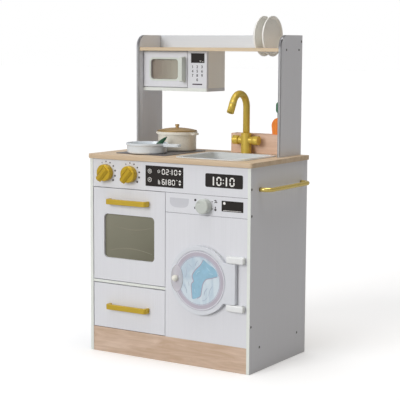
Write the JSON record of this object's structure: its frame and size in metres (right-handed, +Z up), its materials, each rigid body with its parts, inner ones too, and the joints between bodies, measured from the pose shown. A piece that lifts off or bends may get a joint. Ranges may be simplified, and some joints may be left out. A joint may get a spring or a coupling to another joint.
{
  "type": "toy kitchen",
  "caption": "Child's play kitchen: oven, drawer and washing machine under a worktop with hob, sink and tap, and a hutch with a microwave oven and a plate shelf.",
  "frame": {"origin": "on the floor, at the middle of the whole model's footprint, loose pieces and towel rail included", "axes": "+Z up, the front with the doors faces -Y, +X to the right as seen from the front"},
  "size_m": [0.582, 0.3508, 0.9785],
  "materials": {
    "white_board": "white painted board, satin",
    "plain_wood": "pale wood, clear varnish",
    "box_wood": "pale pinkish wood, clear varnish",
    "worktop_wood": "pale wood, clear varnish",
    "gold": "gold paint, satin",
    "tap_gold": "gold paint, satin",
    "white_plastic": "white moulded plastic",
    "grey_plastic": "grey plastic",
    "clear_window": "clear acrylic",
    "dark_plate": "dark grey, satin",
    "olive_window": "tinted acrylic",
    "picture_disc": "printed disc",
    "steel": "plain steel",
    "screw_dark": "dark screw heads",
    "pot_cream": "cream enamel",
    "lid_gold": "gold-beige",
    "pan_white": "white enamel",
    "plate_cream": "cream",
    "carrot_orange": "orange paint",
    "leaf_green": "dark green paint"
  },
  "bodies": {
    "cabinet": {"left_side_panel": "white_board", "right_side_panel": "white_board", "plinth_board": "plain_wood", "base_board": "plain_wood", "centre_divider": "white_board", "oven_shelf": "white_board", "control_panel": "white_board", "washer_front_panel": "white_board", "cabinet_back_panel": "plain_wood", "panel_screws": "screw_dark", "door_catches": "white_plastic", "towel_rail": "gold", "worktop": "worktop_wood", "hob_plate": "dark_plate", "sink_basin": "white_plastic", "sink_drain": "grey_plastic", "tap_body": "tap_gold", "hutch_left_panel": "white_board", "hutch_right_panel": "white_board", "top_shelf": "plain_wood", "hutch_back_rail": "white_board", "microwave_floor": "white_board", "microwave_side": "white_board", "microwave_back": "white_board", "microwave_fascia": "white_board", "utensil_box_front": "box_wood", "utensil_box_end": "box_wood", "utensil_box_back": "box_wood", "washer_hinge_blocks": "white_plastic"},
    "oven_door": {"oven_door_panel": "white_board", "oven_window": "olive_window", "oven_handle": "gold", "oven_hinge_pins": "steel"},
    "drawer": {"drawer_front": "white_board", "drawer_sides": "plain_wood", "drawer_back": "plain_wood", "drawer_bottom": "plain_wood", "drawer_handle": "gold"},
    "microwave_door": {"microwave_door_panel": "white_board", "microwave_window": "clear_window", "microwave_handle": "white_plastic", "microwave_hinge_pins": "steel"},
    "washer_door": {"washer_door_panel": "white_plastic", "washer_window": "picture_disc", "washer_latch_plate": "grey_plastic", "washer_latch_knob": "white_plastic", "washer_hinge_pin": "steel"},
    "knob_left": {"oven_knob_left": "gold"},
    "knob_right": {"oven_knob_right": "gold"},
    "knob_washer": {"washer_knob": "white_plastic"},
    "spout": {"tap_spout": "tap_gold"},
    "tap_left": {"tap_handle_left": "tap_gold"},
    "tap_right": {"tap_handle_right": "tap_gold"},
    "pot_body": {"pot": "pot_cream"},
    "lid": {"pot_lid": "lid_gold"},
    "pan": {"frying_pan": "pan_white"},
    "pan_food": {"toy_leaf": "leaf_green"},
    "plate_a": {"plate_left": "plate_cream"},
    "plate_b": {"plate_right": "plate_cream"},
    "carrot": {"toy_carrot": "carrot_orange"}
  },
  "joints": [
    {"name": "oven_door_hinge", "type": "hinge", "parent": "cabinet", "child": "oven_door", "pos_m": [-0.1495, -0.14305, 0.22512], "axis": [1, 0, 0], "range_deg": [0, 90]},
    {"name": "drawer_slide", "type": "slide", "parent": "cabinet", "child": "drawer", "axis": [0, -1, 0], "range_m": [0, 0.19]},
    {"name": "microwave_door_hinge", "type": "hinge", "parent": "cabinet", "child": "microwave_door", "pos_m": [-0.24208, 0.07845, 0.8233], "axis": [0, 0, -1], "range_deg": [0, 90]},
    {"name": "washer_door_hinge", "type": "hinge", "parent": "cabinet", "child": "washer_door", "pos_m": [0.2094, -0.15655, 0.248], "axis": [0, 0, 1], "range_deg": [0, 130]},
    {"name": "left_knob_turn", "type": "hinge", "parent": "cabinet", "child": "knob_left", "pos_m": [-0.2287, -0.14805, 0.52864], "axis": [0, 1, 0], "continuous": true},
    {"name": "right_knob_turn", "type": "hinge", "parent": "cabinet", "child": "knob_right", "pos_m": [-0.1442, -0.14805, 0.52864], "axis": [0, 1, 0], "continuous": true},
    {"name": "washer_knob_turn", "type": "hinge", "parent": "cabinet", "child": "knob_washer", "pos_m": [0.1095, -0.14805, 0.4553], "axis": [0, 1, 0], "continuous": true},
    {"name": "spout_swivel", "type": "hinge", "parent": "cabinet", "child": "spout", "pos_m": [0.0815, 0.1183, 0.641], "axis": [0, 0, 1], "range_deg": [-80, 80]},
    {"name": "left_tap_turn", "type": "hinge", "parent": "cabinet", "child": "tap_left", "pos_m": [0.0575, 0.1183, 0.62], "axis": [1, 0, 0], "continuous": true},
    {"name": "right_tap_turn", "type": "hinge", "parent": "cabinet", "child": "tap_right", "pos_m": [0.1055, 0.1183, 0.62], "axis": [1, 0, 0], "continuous": true},
    {"name": "pot_lift", "type": "slide", "parent": "cabinet", "child": "pot_body", "axis": [0, 0, 1], "range_m": [0, 0.045]},
    {"name": "lid_lift", "type": "slide", "parent": "pot_body", "child": "lid", "axis": [0, 0, 1], "range_m": [0, 0.04]},
    {"name": "pan_lift", "type": "slide", "parent": "cabinet", "child": "pan", "axis": [0, 0, 1], "range_m": [0, 0.1]},
    {"name": "pan_food_lift", "type": "slide", "parent": "pan", "child": "pan_food", "axis": [0, 0, 1], "range_m": [0, 0.06]},
    {"name": "plate_a_lift", "type": "slide", "parent": "cabinet", "child": "plate_a", "axis": [0, 0, 1], "range_m": [0, 0.12]},
    {"name": "plate_b_lift", "type": "slide", "parent": "cabinet", "child": "plate_b", "axis": [0, 0, 1], "range_m": [0, 0.12]},
    {"name": "carrot_lift", "type": "slide", "parent": "cabinet", "child": "carrot", "axis": [0, 0, 1], "range_m": [0, 0.11]}
  ]
}
